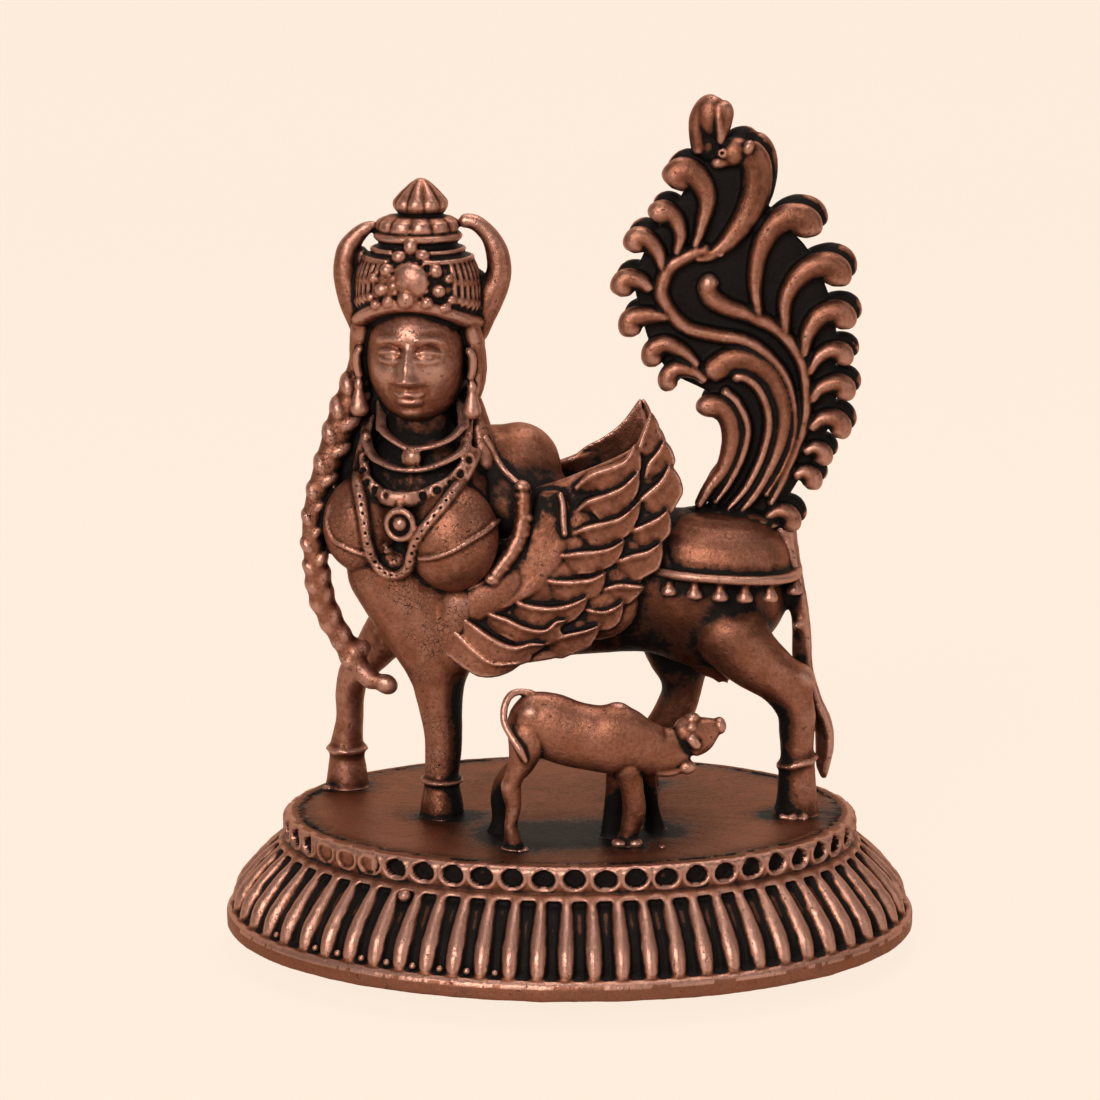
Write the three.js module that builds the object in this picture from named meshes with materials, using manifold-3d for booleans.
import * as THREE from 'three';
import { mergeVertices } from 'three/addons/utils/BufferGeometryUtils.js';
import Module from 'manifold-3d';

const wasm = await Module();
wasm.setup();

// Kamdhenu cow statue, one casting. X runs along the plinth and the cow faces -X,
// the viewer stands at -Y, and Z = 0 is the underside. All sizes are millimetres.

// Plinth: an oval disc with a holed rim, over a flared skirt of upright ribs.
const discLength = 70.8;
const discDepth = 53;
const footHeight = 2.9;
const footSpread = 7.6;
const skirtHeight = 8.1;
const skirtSpread = 7.6;
const skirtBulge = 1.1;
const skirtInset = 0.6;
const rimHeight = 3.3;
const ribCount = 66;
const ribDepth = 1.5;
const holeCount = 53;
const holeWidth = 2.3;
const holeHeight = 2;
const holeDepth = 0.8;

// The figure keeps its proportions and grows as a whole with its own height above the disc.
const figureHeight = 88.3;
const modelledHeight = 88.3;
const soleSink = 0.4;

// How far the chest and the face turn from the cow's side towards its head, in degrees.
const chestTurn = 20;
const faceTurn = 10;

// The middle of the cow's body, about which the far wing mirrors the near one.
const cowMiddle = 4.5;

// Plume: a flat plate carved alike on both faces, standing on the rump.
const plumePlace = { x: 22, y: 4.5, z: 36 };
const plumeWeb = 1.6;
const plumeRelief = 4.4;
const plumeBackShift = { x: 0.22, z: 0.26 };

// Feathers: leaf plates laid like shingles.
const featherThickness = 1.1;
const featherTilt = 12;
const innerFeathers = 7;
const outerFeathers = 8;
const farFeathers = 6;
const wingBed = 1.6;

// Small repeated ornaments.
const tasselCount = 7;
const crownPetals = 7;
const crownBeads = 7;
const braidLumps = 10;

const copper = new THREE.MeshStandardMaterial({ color: 0x8a5a44, roughness: 0.42, metalness: 0.9 });

const right = new THREE.Vector3(1, 0, 0);
const away = new THREE.Vector3(0, 1, 0);
const upward = new THREE.Vector3(0, 0, 1);
const radians = THREE.MathUtils.degToRad;
const mix = THREE.MathUtils.lerp;

// A geometry class's triangles, welded into one closed body.
function solid(geometry) {
  const plain = geometry.clone();
  plain.deleteAttribute('normal');
  plain.deleteAttribute('uv');
  const welded = mergeVertices(plain, 1e-4);
  return new wasm.Manifold(new wasm.Mesh({
    numProp: 3,
    vertProperties: new Float32Array(welded.attributes.position.array),
    triVerts: new Uint32Array(welded.index.array),
  }));
}

function fuse(solids) {
  return solids.reduce((whole, piece) => whole.add(piece));
}

// Moves each corner of a geometry to where place() puts it.
function shaped(geometry, place) {
  const spots = geometry.attributes.position;
  for (let i = 0; i < spots.count; i += 1) {
    const spot = place(new THREE.Vector3().fromBufferAttribute(spots, i));
    spots.setXYZ(i, spot.x, spot.y, spot.z);
  }
  return geometry;
}

// A limb follows a smooth line through its stations. Each station is
// [x, y, z, half width along side, half width across it].
function limb(stations, { sides = 8, side = right } = {}) {
  const spine = new THREE.CatmullRomCurve3(stations.map(([x, y, z]) => new THREE.Vector3(x, y, z)));
  const girth = new THREE.CatmullRomCurve3(stations.map(([, , , a, b]) => new THREE.Vector3(a, b, 0)));
  const tube = new THREE.CylinderGeometry(1, 1, 1, sides, stations.length - 1);
  return solid(shaped(tube, (spot) => {
    const share = THREE.MathUtils.clamp(spot.y + 0.5, 0, 1);
    const size = girth.getPoint(share);
    const along = spine.getTangent(share);
    const across = side.clone().addScaledVector(along, -side.dot(along)).normalize();
    const beside = new THREE.Vector3().crossVectors(across, along);
    return spine.getPoint(share)
      .addScaledVector(across, spot.x * size.x)
      .addScaledVector(beside, spot.z * size.y);
  }));
}

// A rounded lump at a place, with its three half sizes and a turn in degrees about Z.
function ball([x, y, z], [a, b, c], { sides = 8, rows = 6, turn = 0 } = {}) {
  const lump = new THREE.SphereGeometry(1, sides, rows);
  lump.rotateX(Math.PI / 2);
  lump.scale(a, b, c);
  lump.rotateZ(radians(turn));
  lump.translate(x, y, z);
  return solid(lump);
}

// A turned piece on an upright axis through a profile of [radius, height, ripple] rows.
// A ripple sets every second corner in, for petals.
function turned([x, y], profile, sides) {
  const rows = profile.length - 1;
  const stack = new THREE.CylinderGeometry(1, 1, 1, sides, rows);
  return solid(shaped(stack, (spot) => {
    const [radius, height, ripple = 0] = profile[Math.round((spot.y + 0.5) * rows)];
    const column = Math.round((Math.atan2(spot.x, spot.z) / (2 * Math.PI) + 1) * sides);
    const reach = radius - (column % 2 ? ripple : 0);
    return new THREE.Vector3(x + spot.z * reach, y + spot.x * reach, height);
  }));
}

// A flat plate in the XZ plane, as thick as asked and centred on Y = 0.
function plate(shape, thickness) {
  const slab = new THREE.ExtrudeGeometry(shape, { depth: thickness, bevelEnabled: false, steps: 1 });
  slab.translate(0, 0, -thickness / 2);
  slab.rotateX(Math.PI / 2);
  return slab;
}

const between = (from, to, count) => Array.from({ length: count }, (_, i) => mix(from, to,
  i / (count - 1)));

// A place in front of an upright axis: turned by an angle from the way the chest faces.
function aroundChest([x, y], angle, radius) {
  const heading = radians(-90 - chestTurn) + angle;
  return [x + Math.cos(heading) * radius, y + Math.sin(heading) * radius];
}

// Oval plinth
const plinthHeight = footHeight + skirtHeight + rimHeight;
const discEdge = new THREE.EllipseCurve(0, 0, discLength / 2, discDepth / 2);

function onPlinth(share, outset, height) {
  const spot = discEdge.getPointAt(share);
  const along = discEdge.getTangentAt(share);
  return new THREE.Vector3(spot.x + along.y * outset, spot.y - along.x * outset, height);
}

// An upright stack of rings round the oval. ringAt(column, row) gives each corner's
// share of the way round, its outset from the disc's edge and its height.
function ovalStack(columns, rows, ringAt) {
  const stack = new THREE.CylinderGeometry(1, 1, 1, columns, rows);
  return solid(shaped(stack, (spot) => {
    const row = Math.round((spot.y + 0.5) * rows);
    const turn = Math.atan2(spot.x, spot.z) / (2 * Math.PI) + 1;
    const column = Math.round(turn * columns) % columns;
    const { share, outset, height } = ringAt(column, row);
    return Math.hypot(spot.x, spot.z) < 0.5 ? new THREE.Vector3(0, 0, height) : onPlinth(share % 1,
      outset, height);
  }));
}

function foot() {
  const profile = [[footSpread, 0], [footSpread, footHeight * 0.85], [footSpread - 0.5, footHeight]];
  const columns = 40;
  return ovalStack(columns, 2, (column, row) => (
    { share: column / columns, outset: profile[row][0], height: profile[row][1] }));
}

// Ribs and grooves take turns round the skirt, which swells outwards below the neck and
// runs on a little into the foot and the rim.
function skirt() {
  const gaps = 2;
  return ovalStack(ribCount * 2, gaps, (column, row) => {
    const drop = mix(1.08, -0.08, row / gaps);
    const swell = skirtSpread * drop + skirtBulge * Math.sin(Math.PI * drop);
    return {
      share: column / (ribCount * 2),
      outset: swell - skirtInset - (column % 2 ? ribDepth : 0),
      height: footHeight + skirtHeight * (1 - drop),
    };
  });
}

// The rim has one flat facet for each of its holes.
function rim() {
  return ovalStack(holeCount, 1, (column, row) => (
    { share: (column + 0.5) / holeCount, outset: row ? -0.3 : 0,
      height: plinthHeight - (row ? 0 : rimHeight) }));
}

function rimHole(share) {
  const drill = new THREE.ConeGeometry(0.5, 2 * holeDepth, 5);
  drill.scale(2 * holeWidth, 1, 2 * holeHeight);
  const along = discEdge.getTangentAt(share);
  drill.rotateZ(Math.atan2(-along.x, along.y) + Math.PI / 2);
  const spot = onPlinth(share, 0, plinthHeight - rimHeight / 2);
  drill.translate(spot.x, spot.y, spot.z);
  return solid(drill);
}

function plinth() {
  const holes = Array.from({ length: holeCount }, (_, i) => rimHole(i / holeCount));
  return fuse([foot(), skirt(), rim()]).subtract(fuse(holes));
}

// Cow: every height below is measured up from the top of the disc.
// A leg ends in an anklet and a hoof that widens down to its sole.
function hoofedLeg(stations, [x, y], width, anklet) {
  const ending = [[anklet + 0.7, 0.82], [anklet, 1.04], [anklet - 0.7, 0.84], [0.8, 1.08],
    [-soleSink, 1.14]];
  const below = ending.map(([height, share]) => [x, y, height, width * share, width * share]);
  return limb([...stations, ...below], { sides: 6 });
}

function cowLegs() {
  return [
    hoofedLeg([[-16.3, -1.5, 26, 7, 5.5], [-16.2, -2.5, 20.5, 4.2, 4], [-15.7, -3, 15.5, 3, 3],
      [-15.6, -3, 10, 2.3, 2.4]], [-15.8, -3.1], 2.7, 4.4),
    hoofedLeg([[-21, 4, 25, 4, 4], [-24, 7, 19.5, 2.7, 3], [-27.8, 9.5, 14.5, 2.1, 2.4],
      [-28.3, 10.5, 9, 1.75, 1.9]], [-28.6, 10.8], 2.6, 4.8),
    hoofedLeg([[22.5, -0.2, 26, 6, 4.6], [24.5, -1.2, 21, 4.9, 3.8], [27.6, -1.5, 16, 3.1, 2.8],
      [28.3, -1.3, 10.5, 2.3, 2.2]], [28.3, -1.4], 2.5, 5.6),
    hoofedLeg([[15.5, 9, 22, 5, 4], [14.4, 10.2, 14, 2.6, 2.6], [13, 10.8, 9.7, 2.5, 2.4],
      [10, 11, 6, 1.9, 1.9]], [8.8, 11], 2.4, 4),
  ];
}

function cowBody() {
  return [
    limb([[-17, 2.5, 29.5, 7, 9], [-9, 4, 29.3, 8.6, 11.2], [0, 4.5, 29, 8.4, 10.2],
      [10, 4.5, 28.8, 8.4, 8.6],
      [19, 4.5, 27.2, 8.6, 10], [25.5, 4.5, 27.3, 6.6, 8],
        [28.3, 4.5, 27.5, 2.6, 4.5]], { sides: 10, side: away }),
    ball([-6.2, 3.5, 41.5], [5.7, 5.2, 6.9], { sides: 10, rows: 6 }),
    ball([19, 3.5, 17.6], [2.6, 2.4, 1.8], { sides: 6, rows: 4 }),
    limb([[19.9, 3, 17, 0.8, 0.8], [20.8, 3, 14.6, 0.35, 0.35]], { sides: 5 }),
  ];
}

// Chest, neck and head of the woman
function chest() {
  const facing = { sides: 10, side: right.clone().applyAxisAngle(upward, radians(-chestTurn)) };
  return [
    limb([[-17.5, 1.5, 19, 5.8, 5.5], [-18, 1, 26, 8.6, 7.2], [-18.2, 0.8, 33, 10.4, 7.6],
      [-18.2, 0.8, 39, 9.8, 7.2],
      [-18.3, 0.8, 44, 7.8, 5.8], [-18.4, 0.8, 47.5, 5, 4.8], [-18.5, 0.6, 55, 4.1, 4.4]], facing),
    ball([-14.1, -6.4, 35.5], [5.8, 5.4, 6.4], { sides: 10, rows: 6, turn: -chestTurn }),
    ball([-25.2, -2.4, 35.7], [5.2, 5, 6.2], { sides: 10, rows: 6, turn: -chestTurn }),
  ];
}

function head() {
  const middle = [-18.7, -0.4, 57.4];
  const cheeks = new THREE.SphereGeometry(1, 12, 8);
  cheeks.rotateX(Math.PI / 2);
  shaped(cheeks, (spot) => {
    const taper = spot.z < 0 ? 1 - 0.2 * spot.z * spot.z : 1;
    const fullness = spot.y < 0 ? 6.9 : 6.2;
    return new THREE.Vector3(spot.x * 6.4 * taper, spot.y * fullness * taper, spot.z * 8);
  });
  cheeks.rotateZ(radians(-faceTurn));
  cheeks.translate(...middle);
  const front = ([aside, out, up]) => {
    const spot = new THREE.Vector3(aside, -out, up).applyAxisAngle(upward, radians(-faceTurn));
    return [spot.x + middle[0], spot.y + middle[1], spot.z + middle[2]];
  };
  const small = { sides: 6, rows: 3, turn: -faceTurn };
  return [
    solid(cheeks),
    ball([-18.7, 2, 57.6], [7.8, 6.2, 8.6], { sides: 10, rows: 5 }),
    limb([[...front([0, 6.6, 1.5]), 0.45, 0.5], [...front([0, 7.2, -0.4]), 0.6, 0.7],
      [...front([0, 7.1, -1.9]), 1.15, 1],
      [...front([0, 6.2, -2.3]), 0.7, 0.4]], { sides: 4 }),
    ...[-1, 1].flatMap((hand) => [
      ball(front([hand * 2.4, 6, 0.8]), [1.3, 0.8, 0.7], { ...small, rows: 2 }),
      limb([[...front([hand * 6.9, 0.6, 2]), 0.6, 1.6], [...front([hand * 7.3, 0.4, -3]), 0.7, 1.5],
        [...front([hand * 6.5, 0.6, -6]), 0.5, 0.9]], { sides: 6 }),
      turned(front([hand * 6.9, 1.4, 0]).slice(0, 2), [[0.5, 49.9], [1.2, 50.8], [0.35, 54.4]], 5),
    ]),
    limb([[...front([-4, 5.2, 2.2]), 0.3, 0.3], [...front([-2, 6.3, 2.9]), 0.45, 0.5],
      [...front([0, 6.5, 2.1]), 0.3, 0.4],
      [...front([2, 6.3, 2.9]), 0.45, 0.5],
        [...front([4, 5.2, 2.2]), 0.3, 0.3]], { sides: 4, side: upward }),
    ball(front([0, 6.2, -3.9]), [1.8, 0.9, 0.5], { ...small, rows: 2 }),
    ball(front([0, 6, -4.7]), [1.4, 0.9, 0.5], { ...small, rows: 2 }),
  ];
}

function crown() {
  const axis = [-18.5, 0.4];
  const bead = { sides: 4, rows: 2 };
  const tiers = [[7.4, 61.6], [7.9, 62.4], [7.9, 63.6], [8.1, 65.4, 0.9], [7.4, 67.8, 0.9],
    [5.1, 70.8], [6, 71.3], [6, 71.9],
    [5.3, 73.2, 0.8], [4.4, 74.1], [2.3, 74.6], [3.5, 75.7, 0.5], [0.5, 78.6]];
  const upright = turned(axis, tiers, 2 * crownPetals);
  const jewel = (aside, up, out, size, detail) => {
    const [x, y] = aroundChest(axis, radians(6) + aside / 7.4, 7.3 - 0.3 * up + out);
    return ball([x, y, 66.6 + up], size, detail);
  };
  const beads = Array.from({ length: crownBeads }, (_, i) => {
    const angle = i / crownBeads * 2 * Math.PI;
    return jewel(2.6 * Math.cos(angle), 2.8 * Math.sin(angle), 0, [0.8, 0.9, 0.8], bead);
  });
  return [
    upright,
    ...beads,
    jewel(0, 0, 0.2, [2, 1.2, 2], { sides: 8, rows: 4 }),
  ];
}

function horns() {
  return [
    limb([[-24.8, 0.8, 58.5, 1.3, 1.6], [-27.5, 0.8, 63, 1.5, 1.6], [-27.5, 0.8, 67.6, 1.4, 1.5],
      [-26.5, 0.8, 71, 1, 1.2],
      [-24, 0.8, 73.2, 0.5, 0.6]], { sides: 6 }),
    limb([[-11.8, 0.8, 58.5, 1.3, 1.6], [-9.2, 0.8, 63.5, 1.5, 1.6], [-8.8, 0.8, 68, 1.45, 1.5],
      [-10, 0.8, 71.6, 1.1, 1.2],
      [-13, 0.8, 73.9, 0.6, 0.7]], { sides: 6 }),
  ];
}

// Necklaces: bands that hang from the nape, lowest at the front.
function collar(radius, top, bottom, half, reach) {
  const stations = between(-reach, reach, 7).map((angle) => {
    const [x, y] = aroundChest([-18.4, 0.6], radians(angle), radius + 0.6 * Math.cos(radians(angle)));
    const fall = Math.cos(radians(angle * 90 / reach));
    return [x, y, mix(top, bottom, fall), half, 0.6];
  });
  return limb(stations, { sides: 4, side: upward });
}

function necklaces() {
  const pendant = aroundChest([-18.4, 0.6], 0, 7.8);
  return [
    collar(5.2, 48.8, 46.3, 0.45, 110),
    collar(6, 47.6, 44, 0.45, 105),
    collar(7.2, 46.8, 41, 0.95, 100),
    limb([[-26.5, -3.6, 43.6, 0.7, 0.8], [-26.2, -6, 38.2, 0.6, 0.9], [-24.4, -8, 33.4, 0.6, 0.9],
      [-20.6, -8.6, 30.8, 0.6, 0.9],
      [-18.2, -10, 34, 0.6, 0.9], [-14, -10.8, 40.2, 0.6, 0.9],
        [-11.3, -6.6, 44.8, 0.7, 0.8]], { sides: 4 }),
    ball([pendant[0], pendant[1], 37.8], [1.8, 1.6, 1.8], { sides: 8, rows: 4, turn: -chestTurn }),
    ball([pendant[0], pendant[1] - 1.2, 37.8], [0.8, 0.9, 0.8], { sides: 5, rows: 3 }),
    ball([-19.9, -5.6, 45.2], [1, 1.2, 1.5], { sides: 5, rows: 3 }),
  ];
}

function braid() {
  const route = new THREE.CatmullRomCurve3([[-25, 3, 56], [-27.4, 1, 51.5], [-28.5, 0, 46.6],
    [-30.3, -1, 42.5],
    [-31.6, -1, 37.5], [-31.4, -1, 32], [-30.9, -0.5, 27.5], [-29.7, -0.3, 24], [-27.5, -0.3, 20],
    [-25, -0.8, 16.8]].map((spot) => new THREE.Vector3(...spot)));
  const plait = Array.from({ length: 2 * braidLumps + 1 }, (_, i) => {
    const share = i / (2 * braidLumps);
    const width = mix(1.9, 1.3, share) * (i % 2 ? 1.12 : 0.78);
    return [...route.getPointAt(share).toArray(), width, width];
  });
  return [
    limb(plait, { sides: 6 }),
    limb([[-26.2, -0.6, 18, 0.9, 0.9], [-24, -1.4, 16, 0.9, 0.9],
      [-22.2, -2, 15.2, 1.2, 1.2]], { sides: 6 }),
  ];
}

// Wings: the near one is shaped first, then mirrored for the far side.
const wingLean = (height) => -8.4 + 0.2 * (height - 19);

// A leaf from root to tip in the XZ plane, its lower edge fuller, tilted about its own length.
function feather([x0, z0], [x1, z1], width) {
  const length = Math.hypot(x1 - x0, z1 - z0);
  const leaf = new THREE.Shape();
  leaf.moveTo(0, width * 0.15);
  leaf.lineTo(length * 0.55, width * 0.4);
  leaf.lineTo(length, width * 0.1);
  leaf.lineTo(length * 0.7, -width * 0.5);
  leaf.lineTo(0, -width * 0.3);
  const slab = plate(leaf, featherThickness);
  slab.rotateX(radians(featherTilt));
  slab.rotateY(-Math.atan2(z1 - z0, x1 - x0));
  slab.translate(x0, 0, z0);
  return shaped(slab, (spot) => spot.add(new THREE.Vector3(0, wingLean(spot.z), 0)));
}

function featherRow(roots, tips, count, width, inset) {
  const rootLine = new THREE.SplineCurve(roots.map(([x, z]) => new THREE.Vector2(x, z)));
  const tipLine = new THREE.SplineCurve(tips.map(([x, z]) => new THREE.Vector2(x, z)));
  return Array.from({ length: count }, (_, i) => {
    const share = i / (count - 1);
    const leaf = feather(rootLine.getPointAt(share).toArray(), tipLine.getPointAt(share).toArray(),
      width);
    leaf.translate(0, inset, 0);
    return solid(leaf);
  });
}

// The bed is a plate behind the feathers that grows out of the shoulder.
function wingBedding() {
  const edge = [[-15, 26], [-9, 20.6], [0, 22.6], [8, 30], [9.6, 38], [8.4, 46], [3, 44], [-3, 40],
    [-9, 33]];
  const bed = plate(new THREE.Shape(edge.map(([x, z]) => new THREE.Vector2(x, z))), wingBed);
  bed.translate(0, wingBed, 0);
  return [
    solid(shaped(bed, (spot) => spot.add(new THREE.Vector3(0, wingLean(spot.z), 0)))),
    ball([-5, -2.5, 28], [11, 3.4, 8.5], { sides: 8, rows: 4 }),
  ];
}

function outerRow(count) {
  const roots = [[3.4, 43.6], [4.2, 38.4], [2, 31.4], [-4, 26.8], [-15, 25.6]];
  const tips = [[10, 51.4], [12.3, 44], [11.4, 34.6], [5.6, 26.6], [-3, 20.2]];
  return featherRow(roots, tips, count, 5.2, 0.7);
}

function innerRow() {
  const roots = [[-0.2, 40.8], [0.4, 35.5], [-3.2, 30.4], [-8.5, 27.2], [-14.5, 27]];
  const tips = [[8, 46.8], [8.6, 39.6], [4.6, 31.6], [-0.2, 26], [-4.6, 23.2]];
  return featherRow(roots, tips, innerFeathers, 4.4, -0.3);
}

function wings() {
  const near = fuse([...wingBedding(), ...outerRow(outerFeathers), ...innerRow()]);
  const far = fuse([...wingBedding(), ...outerRow(farFeathers)]);
  return [near, far.translate([0, -cowMiddle, 0]).mirror([0, 1, 0]).translate([0, cowMiddle, 0])];
}

// The rope that borders the wing's root, and the strap over the hump
function trappings() {
  return [
    limb([[-4.7, -4.6, 40.4, 1, 1], [-4.8, -6.8, 36, 1, 1], [-6.6, -7.8, 32, 1, 1],
      [-9.2, -8.4, 29.4, 0.8, 0.8],
      [-14.5, -8, 27.6, 0.6, 0.6]], { sides: 5 }),
    limb([[-10.6, 0.2, 45.4, 0.5, 0.6], [-8.8, -1.2, 42.2, 0.5, 0.6],
      [-5.4, -1.7, 38.8, 0.5, 0.6]], { sides: 4 }),
  ];
}

// Rump blanket: an oval dome with a rolled hem, and a row of bells a side
function blanket() {
  const hem = { x: 18.3, reach: 9.9, spread: 9.5, height: 28 };
  const dome = [[9, 26.9], [9.9, 27.3], [9.9, 28.5], [9.2, 28.9], [8.7, 32], [6.9, 34.8], [4, 36.6],
    [0.4, 37.1]];
  const cloth = turned([0, 0], dome, 14).scale([1, hem.spread / hem.reach, 1]).translate([hem.x,
    cowMiddle, 0]);
  const bells = [-1, 1].flatMap((hand) => between(12, 26.6, tasselCount).map((x) => {
    const y = cowMiddle + hand * (hem.spread - 0.3) * Math.sqrt(1 - ((x - hem.x) / hem.reach) ** 2);
    return turned([x, y], [[1.15, hem.height - 2.8], [0.5, hem.height - 0.6]], 4);
  }));
  return [cloth, ...bells];
}

function tail() {
  return limb([[26.6, 4.6, 36, 1.6, 1.6], [27.4, 4, 31, 1.2, 1.2], [28.2, 3.4, 25, 1.1, 0.9],
    [28.8, 3, 19.5, 1, 0.9],
    [30.4, 2.5, 14, 0.9, 0.9], [31.6, 2, 9, 1.1, 1.1], [31.8, 2, 3.6, 0.3, 0.3]], { sides: 5 });
}

// Plume: curls and veins in the XZ plane, measured from the foot of its stem. Each curl
// rises from its root, passes over its head and hooks down on the outer side.
const leftCurls = [
  { root: [-4.9, 2.5], head: [-3.4, 13.3], hook: 2, width: 1.1, sway: 1.6 },
  { root: [-4.5, 16.6], head: [-8, 17.3], hook: 1.7, width: 0.95, sway: 0 },
  { root: [-5.2, 18.5], head: [-9.8, 20.3], hook: 1.8, width: 1, sway: 0 },
  { root: [-8.4, 25], head: [-12.9, 23.7], hook: 1.8, width: 1.1, sway: 0 },
  { root: [-10.6, 27.8], head: [-14.3, 28.4], hook: 1.8, width: 1.1, sway: 0 },
  { root: [-9.8, 30.3], head: [-12.5, 33.6], hook: 1.9, width: 1.1, sway: 0 },
  { root: [-8.2, 31.8], head: [-10, 36.8], hook: 1.8, width: 1.1, sway: 0 },
  { root: [-6.2, 32.8], head: [-7.3, 41.4], hook: 2.3, width: 1.3, sway: 0.8 },
];
const rightCurls = [
  { root: [2.4, 24.6], head: [5.5, 35.9], hook: 2.9, width: 1.6, sway: 0.8 },
  { root: [4.6, 23], head: [9.6, 30.4], hook: 2.5, width: 1.4, sway: 0.8 },
  { root: [7.2, 18.4], head: [10.9, 24.8], hook: 2, width: 1.2, sway: 0 },
  { root: [7.6, 15.2], head: [11, 20.1], hook: 1.7, width: 1.1, sway: 0 },
  { root: [7.6, 12.2], head: [11.2, 15.9], hook: 1.7, width: 1.1, sway: 0 },
  { root: [7.2, 9.4], head: [10.8, 11.6], hook: 1.7, width: 1.1, sway: 0 },
  { root: [6.2, 6.8], head: [8.9, 7.9], hook: 1.5, width: 1, sway: 0 },
  { root: [4.6, 4.2], head: [7.4, 4.7], hook: 1.5, width: 1, sway: 0 },
  { root: [2, 0.6], head: [4.9, 0], hook: 1.5, width: 1, sway: 0 },
];
const veins = [
  { route: [[-2.5, 2], [0.3, 9.2], [0.6, 14], [-2.6, 17.2]], width: 0.8 },
  { route: [[0.2, 1], [4.7, 9.4], [4.5, 16], [1.4, 19.8], [-3.8, 18.9]], width: 0.95 },
  { route: [[3.2, 1], [7.4, 11], [7, 19], [3, 24.2], [-2.1, 26.3], [-4.4, 29.2]], width: 0.75 },
  { route: [[5.4, 13.6], [3.4, 20], [-5, 23.2], [-9.8, 26.8], [-8.4, 31.8], [-3.6, 33.6], [1.4, 39.2],
    [1.6, 44.6], [-2.4, 46.4]], width: 0.95 },
];

function strand(route, halves) {
  const depth = plumeRelief / 2;
  return limb(route.map(([x, z], i) => [x, 0, z, depth * (0.8 + 0.2 * halves[i]), halves[i]]),
    { sides: 4, side: away });
}

function curl({ root, head: [x, z], hook, width, sway }, hand) {
  const shoulder = [x - hand * hook, z + 0.1 * hook];
  const bends = sway ? [[mix(root[0], shoulder[0], 0.5) - hand * sway, mix(root[1], shoulder[1],
    0.5)]] : [];
  const route = [root, ...bends, shoulder, [x, z + hook * 0.9], [x + hand * hook * 0.9, z + hook * 0.1],
    [x + hand * hook * 0.5, z - hook * 0.7]];
  return strand(route, route.map((_,
    i) => width * (0.75 + 0.8 * Math.sin(0.8 * Math.PI * i / (route.length - 1)))));
}

function plume() {
  const rim = [...leftCurls.map(({ head: spot }) => spot), [-4.5, 46.5], [1.8, 45.5],
    [2, 40], ...rightCurls.map(({ head: spot }) => spot)];
  const outline = new THREE.Shape([[4, -3], [-9, -3], [-7.6, 1.6], [-4.6, 4.6],
    [-2.4, 9], ...rim].map(([x, z]) => new THREE.Vector2(x, z)));
  const crest = new THREE.Shape([[-7.5, 46], [-7.6, 48], [-6.3, 51], [-4, 52.3], [-1.9, 51.9],
    [-2.2, 48.6], [-2.9, 46],
    [-5, 44]].map(([x, z]) => new THREE.Vector2(x, z)));
  const carved = fuse([
    solid(plate(outline, plumeWeb)),
    ...leftCurls.map((one) => curl(one, -1)),
    ...rightCurls.map((one) => curl(one, 1)),
    ...veins.map(({ route, width }) => strand(route, route.map((_, i) => width * mix(1.1, 1.4,
      i / route.length)))),
    ball([-2.4, 0, 45.6], [2.6, 2.3, 1.9], { sides: 8, rows: 4 }),
    solid(plate(crest, plumeRelief * 0.8)),
  ]);
  const { x, y, z } = plumePlace;
  const sheared = carved.transform([1, 0, 0, 0, plumeBackShift.x, 1, plumeBackShift.z, 0, 0, 0, 1, 0,
    0, 0, 0, 1]);
  return sheared.translate([x, y, z]);
}

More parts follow.
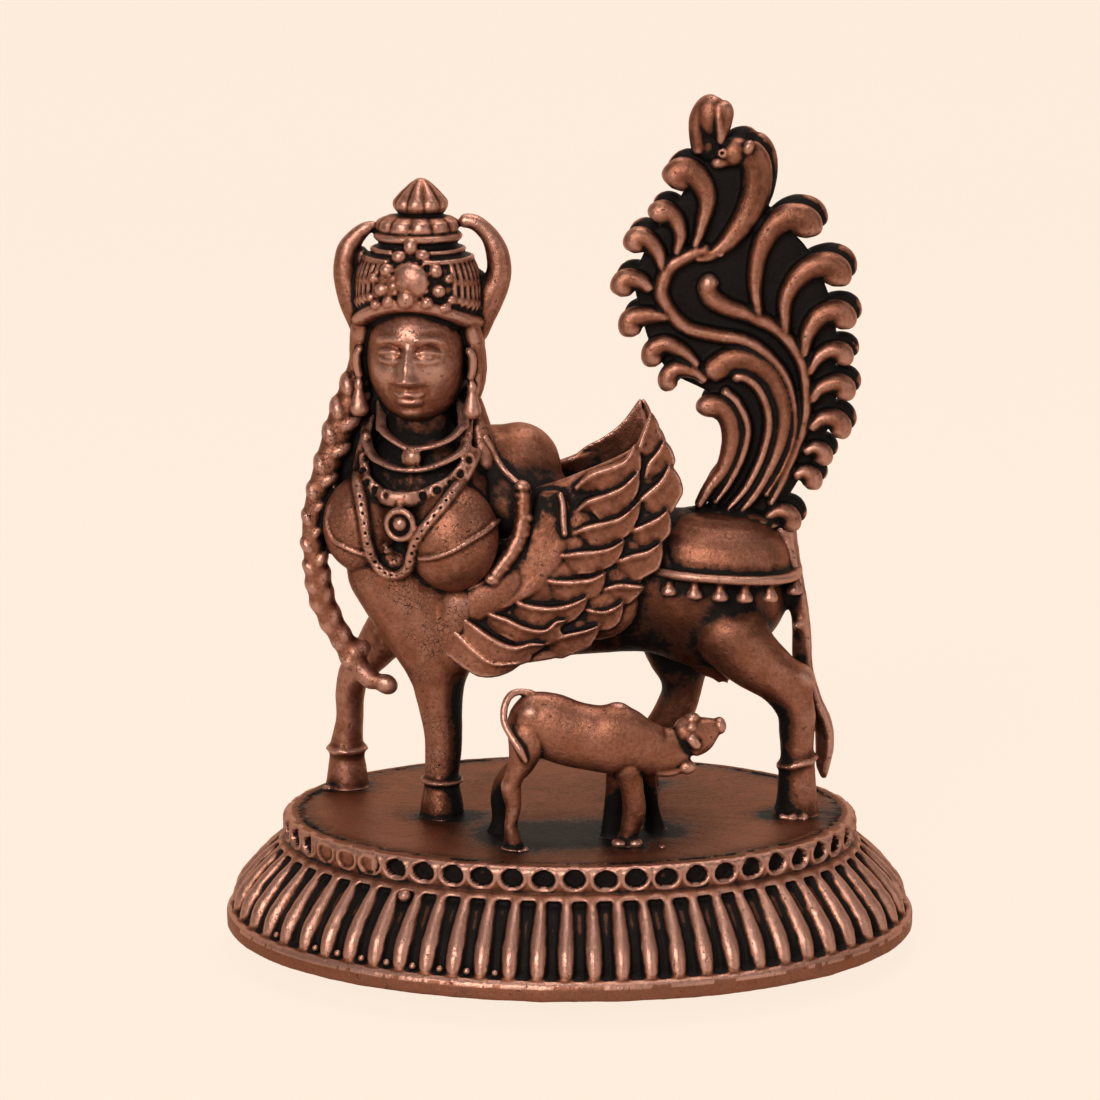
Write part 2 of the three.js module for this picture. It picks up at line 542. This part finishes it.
// Calf, nose up to the udder
function calf() {
  const slim = { sides: 5 };
  return [
    limb([[-7.1, -17, 15.4, 1.2, 1.6], [-5.6, -17, 15.3, 2.5, 3.7], [-1.5, -17, 14.6, 2.7, 3.9],
      [3.2, -17, 13.8, 2.8, 4.1],
      [6.2, -17, 13.7, 2.6, 4.2], [8.6, -16.7, 13.2, 2, 3.1], [11.2, -16, 12.4, 1.6, 2.4],
    [15, -15.4, 13.9, 1.7, 1.9], [17.4, -15.1, 14, 1.1, 1.1],
      [19.1, -15, 13.9, 0.9, 0.9]], { side: away }),
    ball([6, -17, 17.1], [1.8, 1.2, 1.2], { sides: 6, rows: 4 }),
    ball([14.4, -15.6, 10.6], [1.2, 1.2, 1.8], { sides: 6, rows: 3 }),
    limb([[-5.2, -17.8, 14, 2.2, 1.6], [-5.6, -18, 10.5, 1.5, 1.2], [-6.8, -18, 7.4, 1, 0.9],
      [-6.2, -18, 4, 0.85, 0.8],
      [-6.4, -18, -soleSink, 1.1, 1.1]], slim),
    limb([[7, -17.2, 13, 1.9, 1.5], [7.2, -16.6, 8.5, 1.4, 1.2], [7.6, -16.2, 4.2, 1.1, 1],
      [7.4, -16, -soleSink, 1, 1.1]], slim),
    limb([[8.6, -15, 12, 1.6, 1.4], [9.6, -11.5, 6.5, 0.9, 0.9], [10, -9.6, 3, 0.8, 0.8],
      [10.2, -9, -soleSink, 1.1, 1.1]], slim),
    limb([[-4.6, -15.6, 13, 2, 1.6], [-6, -13, 9, 1.3, 1.3], [-8.6, -11.4, 5.4, 1.1, 1.1],
      [-8.4, -10.5, -soleSink, 1.5, 1.4]], slim),
    limb([[-5, -17, 18.8, 0.45, 0.45], [-7.6, -17.4, 17.6, 0.5, 0.5], [-7, -18.4, 14.4, 0.5, 0.5],
      [-5.6, -19.4, 11.4, 0.5, 0.5]], slim),
  ];
}

const figure = fuse([
  ...cowBody(), ...cowLegs(), ...chest(), ...head(), ...crown(), ...horns(), ...necklaces(), ...braid(),
  ...wings(), ...trappings(), ...blanket(), tail(), plume(), ...calf(),
]);
const growth = figureHeight / modelledHeight;
const statue = plinth().add(figure.scale(growth).translate([0, 0, plinthHeight]));

// The joined body back as a three.js geometry
const { vertProperties, triVerts } = statue.getMesh();
const cast = new THREE.BufferGeometry();
cast.setAttribute('position', new THREE.BufferAttribute(vertProperties, 3));
cast.setIndex(new THREE.BufferAttribute(triVerts, 1));
cast.computeVertexNormals();

const group = new THREE.Group();
const statueMesh = new THREE.Mesh(cast, copper);
statueMesh.name = 'kamdhenu_statue';
group.add(statueMesh);

export default group;
